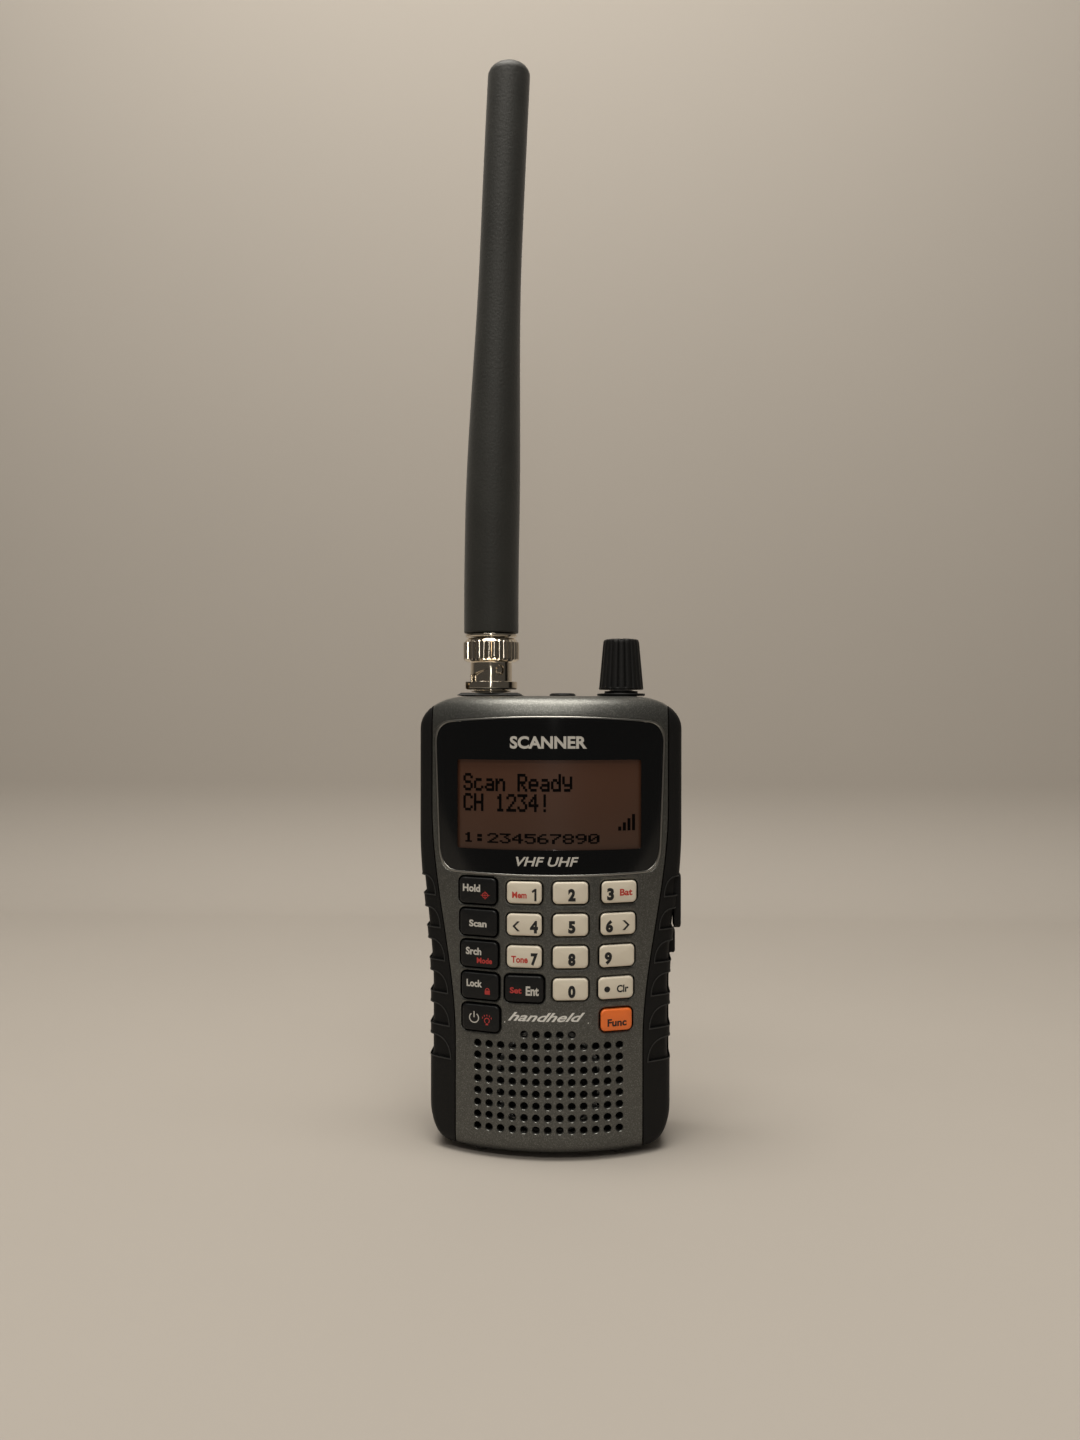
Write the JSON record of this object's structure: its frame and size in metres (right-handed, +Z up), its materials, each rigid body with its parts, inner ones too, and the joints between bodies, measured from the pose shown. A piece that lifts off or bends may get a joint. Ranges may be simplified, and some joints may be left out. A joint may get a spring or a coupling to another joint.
{
  "type": "handheld radio scanner",
  "caption": "Handheld radio scanner with a convex front panel, display, keypad, speaker grille, soft side grips, volume knob and a rubber antenna on a bayonet connector.",
  "frame": {"origin": "centre of the footprint at the level of the feet, halfway across the width and the depth", "axes": "+Z up along the case and antenna, +X to the user's right as the user faces the front, -Y out of the front face"},
  "size_m": [0.067, 0.0327, 0.2788],
  "materials": {
    "painted": "dark metallic grey paint with fine flake, satin",
    "black": "black moulded plastic, fine spark texture",
    "rubber": "soft black rubber, matte",
    "gloss": "gloss black printed window lens",
    "silver": "thin bright trim line",
    "liquid": "unlit amber-brown liquid crystal display",
    "pale": "cream silicone key, satin, with black and red legends",
    "dark": "near-black silicone key, satin, with pale legends",
    "orange": "orange silicone key, satin",
    "membrane": "grey silicone rubber sheet",
    "board": "green solder-masked circuit board",
    "nickel": "bright nickel plate",
    "steel": "tinned or zinc-plated steel",
    "brass": "gold-plated brass contact",
    "paper": "black doped paper cone",
    "ferrite": "dark ferrite magnet in a steel cup",
    "insulator": "white plastic",
    "cell": "printed metal-jacketed AA cell, plain blue"
  },
  "bodies": {
    "root": {"front_case": "painted", "rear_case": "black", "left_grip": "rubber", "right_grip": "rubber", "usb_socket": "steel", "display_lens": "gloss", "lens_trim": "silver", "lcd_panel": "liquid", "lcd_holder": "insulator", "keypad_membrane": "membrane", "main_board": "board", "rf_shield": "steel", "speaker_frame": "steel", "speaker_cone": "paper", "speaker_magnet": "ferrite", "battery_left": "cell", "battery_right": "cell", "battery_contact_low": "nickel", "battery_contact_high": "nickel", "earphone_jack": "black", "antenna_base": "black", "antenna_socket": "nickel", "socket_insulator": "insulator", "encoder_body": "black", "encoder_bush": "nickel", "rear_screw_1": "steel", "rear_screw_2": "steel", "rear_screw_3": "steel", "rear_screw_4": "steel", "foot_front_left": "rubber", "foot_front_right": "rubber", "foot_rear_left": "rubber", "foot_rear_right": "rubber"},
    "battery_door": {"battery_door": "black"},
    "usb_cover": {"usb_cover": "rubber"},
    "bayonet_spring": {"spring_washer": "steel"},
    "coupling_nut": {"coupling_nut": "nickel"},
    "antenna": {"plug_body": "nickel", "centre_pin": "brass", "antenna_sleeve": "rubber"},
    "volume_knob": {"encoder_shaft": "steel", "volume_knob": "black"},
    "key_hold": {"key_hold": "dark"},
    "key_1": {"key_1": "pale"},
    "key_2": {"key_2": "pale"},
    "key_3": {"key_3": "pale"},
    "key_scan": {"key_scan": "dark"},
    "key_4": {"key_4": "pale"},
    "key_5": {"key_5": "pale"},
    "key_6": {"key_6": "pale"},
    "key_search": {"key_search": "dark"},
    "key_7": {"key_7": "pale"},
    "key_8": {"key_8": "pale"},
    "key_9": {"key_9": "pale"},
    "key_lockout": {"key_lockout": "dark"},
    "key_program": {"key_program": "dark"},
    "key_0": {"key_0": "pale"},
    "key_clear": {"key_clear": "pale"},
    "key_power": {"key_power": "dark"},
    "key_func": {"key_func": "orange"}
  },
  "joints": [
    {"name": "battery_door_slide", "type": "slide", "parent": "root", "child": "battery_door", "axis": [0, 0, -1], "range_m": [0, 0.012]},
    {"name": "usb_cover_hinge", "type": "hinge", "parent": "root", "child": "usb_cover", "pos_m": [0.0333, 0.0009, 0.0552], "axis": [0, 1, 0], "range_deg": [0, 110]},
    {"name": "bayonet_lift", "type": "slide", "parent": "root", "child": "bayonet_spring", "axis": [0, 0, 1], "range_m": [0, 0.0025]},
    {"name": "bayonet_turn", "type": "hinge", "parent": "bayonet_spring", "child": "coupling_nut", "pos_m": [-0.0156, 0.003, 0.1225], "axis": [0, 0, 1], "range_deg": [0, 90]},
    {"name": "antenna_swivel", "type": "hinge", "parent": "bayonet_spring", "child": "antenna", "pos_m": [-0.0156, 0.003, 0.127], "axis": [0, 0, 1], "continuous": true},
    {"name": "volume_turn", "type": "hinge", "parent": "root", "child": "volume_knob", "pos_m": [0.0182, 0.003, 0.12], "axis": [0, 0, 1], "continuous": true},
    {"name": "key_hold_press", "type": "slide", "parent": "root", "child": "key_hold", "axis": [0, 1, 0], "range_m": [0, 0.0008], "stiffness_N_per_m": 400},
    {"name": "key_1_press", "type": "slide", "parent": "root", "child": "key_1", "axis": [0, 1, 0], "range_m": [0, 0.0008], "stiffness_N_per_m": 400},
    {"name": "key_2_press", "type": "slide", "parent": "root", "child": "key_2", "axis": [0, 1, 0], "range_m": [0, 0.0008], "stiffness_N_per_m": 400},
    {"name": "key_3_press", "type": "slide", "parent": "root", "child": "key_3", "axis": [0, 1, 0], "range_m": [0, 0.0008], "stiffness_N_per_m": 400},
    {"name": "key_scan_press", "type": "slide", "parent": "root", "child": "key_scan", "axis": [0, 1, 0], "range_m": [0, 0.0008], "stiffness_N_per_m": 400},
    {"name": "key_4_press", "type": "slide", "parent": "root", "child": "key_4", "axis": [0, 1, 0], "range_m": [0, 0.0008], "stiffness_N_per_m": 400},
    {"name": "key_5_press", "type": "slide", "parent": "root", "child": "key_5", "axis": [0, 1, 0], "range_m": [0, 0.0008], "stiffness_N_per_m": 400},
    {"name": "key_6_press", "type": "slide", "parent": "root", "child": "key_6", "axis": [0, 1, 0], "range_m": [0, 0.0008], "stiffness_N_per_m": 400},
    {"name": "key_search_press", "type": "slide", "parent": "root", "child": "key_search", "axis": [0, 1, 0], "range_m": [0, 0.0008], "stiffness_N_per_m": 400},
    {"name": "key_7_press", "type": "slide", "parent": "root", "child": "key_7", "axis": [0, 1, 0], "range_m": [0, 0.0008], "stiffness_N_per_m": 400},
    {"name": "key_8_press", "type": "slide", "parent": "root", "child": "key_8", "axis": [0, 1, 0], "range_m": [0, 0.0008], "stiffness_N_per_m": 400},
    {"name": "key_9_press", "type": "slide", "parent": "root", "child": "key_9", "axis": [0, 1, 0], "range_m": [0, 0.0008], "stiffness_N_per_m": 400},
    {"name": "key_lockout_press", "type": "slide", "parent": "root", "child": "key_lockout", "axis": [0, 1, 0], "range_m": [0, 0.0008], "stiffness_N_per_m": 400},
    {"name": "key_program_press", "type": "slide", "parent": "root", "child": "key_program", "axis": [0, 1, 0], "range_m": [0, 0.0008], "stiffness_N_per_m": 400},
    {"name": "key_0_press", "type": "slide", "parent": "root", "child": "key_0", "axis": [0, 1, 0], "range_m": [0, 0.0008], "stiffness_N_per_m": 400},
    {"name": "key_clear_press", "type": "slide", "parent": "root", "child": "key_clear", "axis": [0, 1, 0], "range_m": [0, 0.0008], "stiffness_N_per_m": 400},
    {"name": "key_power_press", "type": "slide", "parent": "root", "child": "key_power", "axis": [0, 1, 0], "range_m": [0, 0.0008], "stiffness_N_per_m": 400},
    {"name": "key_func_press", "type": "slide", "parent": "root", "child": "key_func", "axis": [0, 1, 0], "range_m": [0, 0.0008], "stiffness_N_per_m": 400}
  ],
  "couplings": [
    {"joint": "bayonet_turn", "follows": "bayonet_lift", "rad_per_m": 628.31}
  ]
}
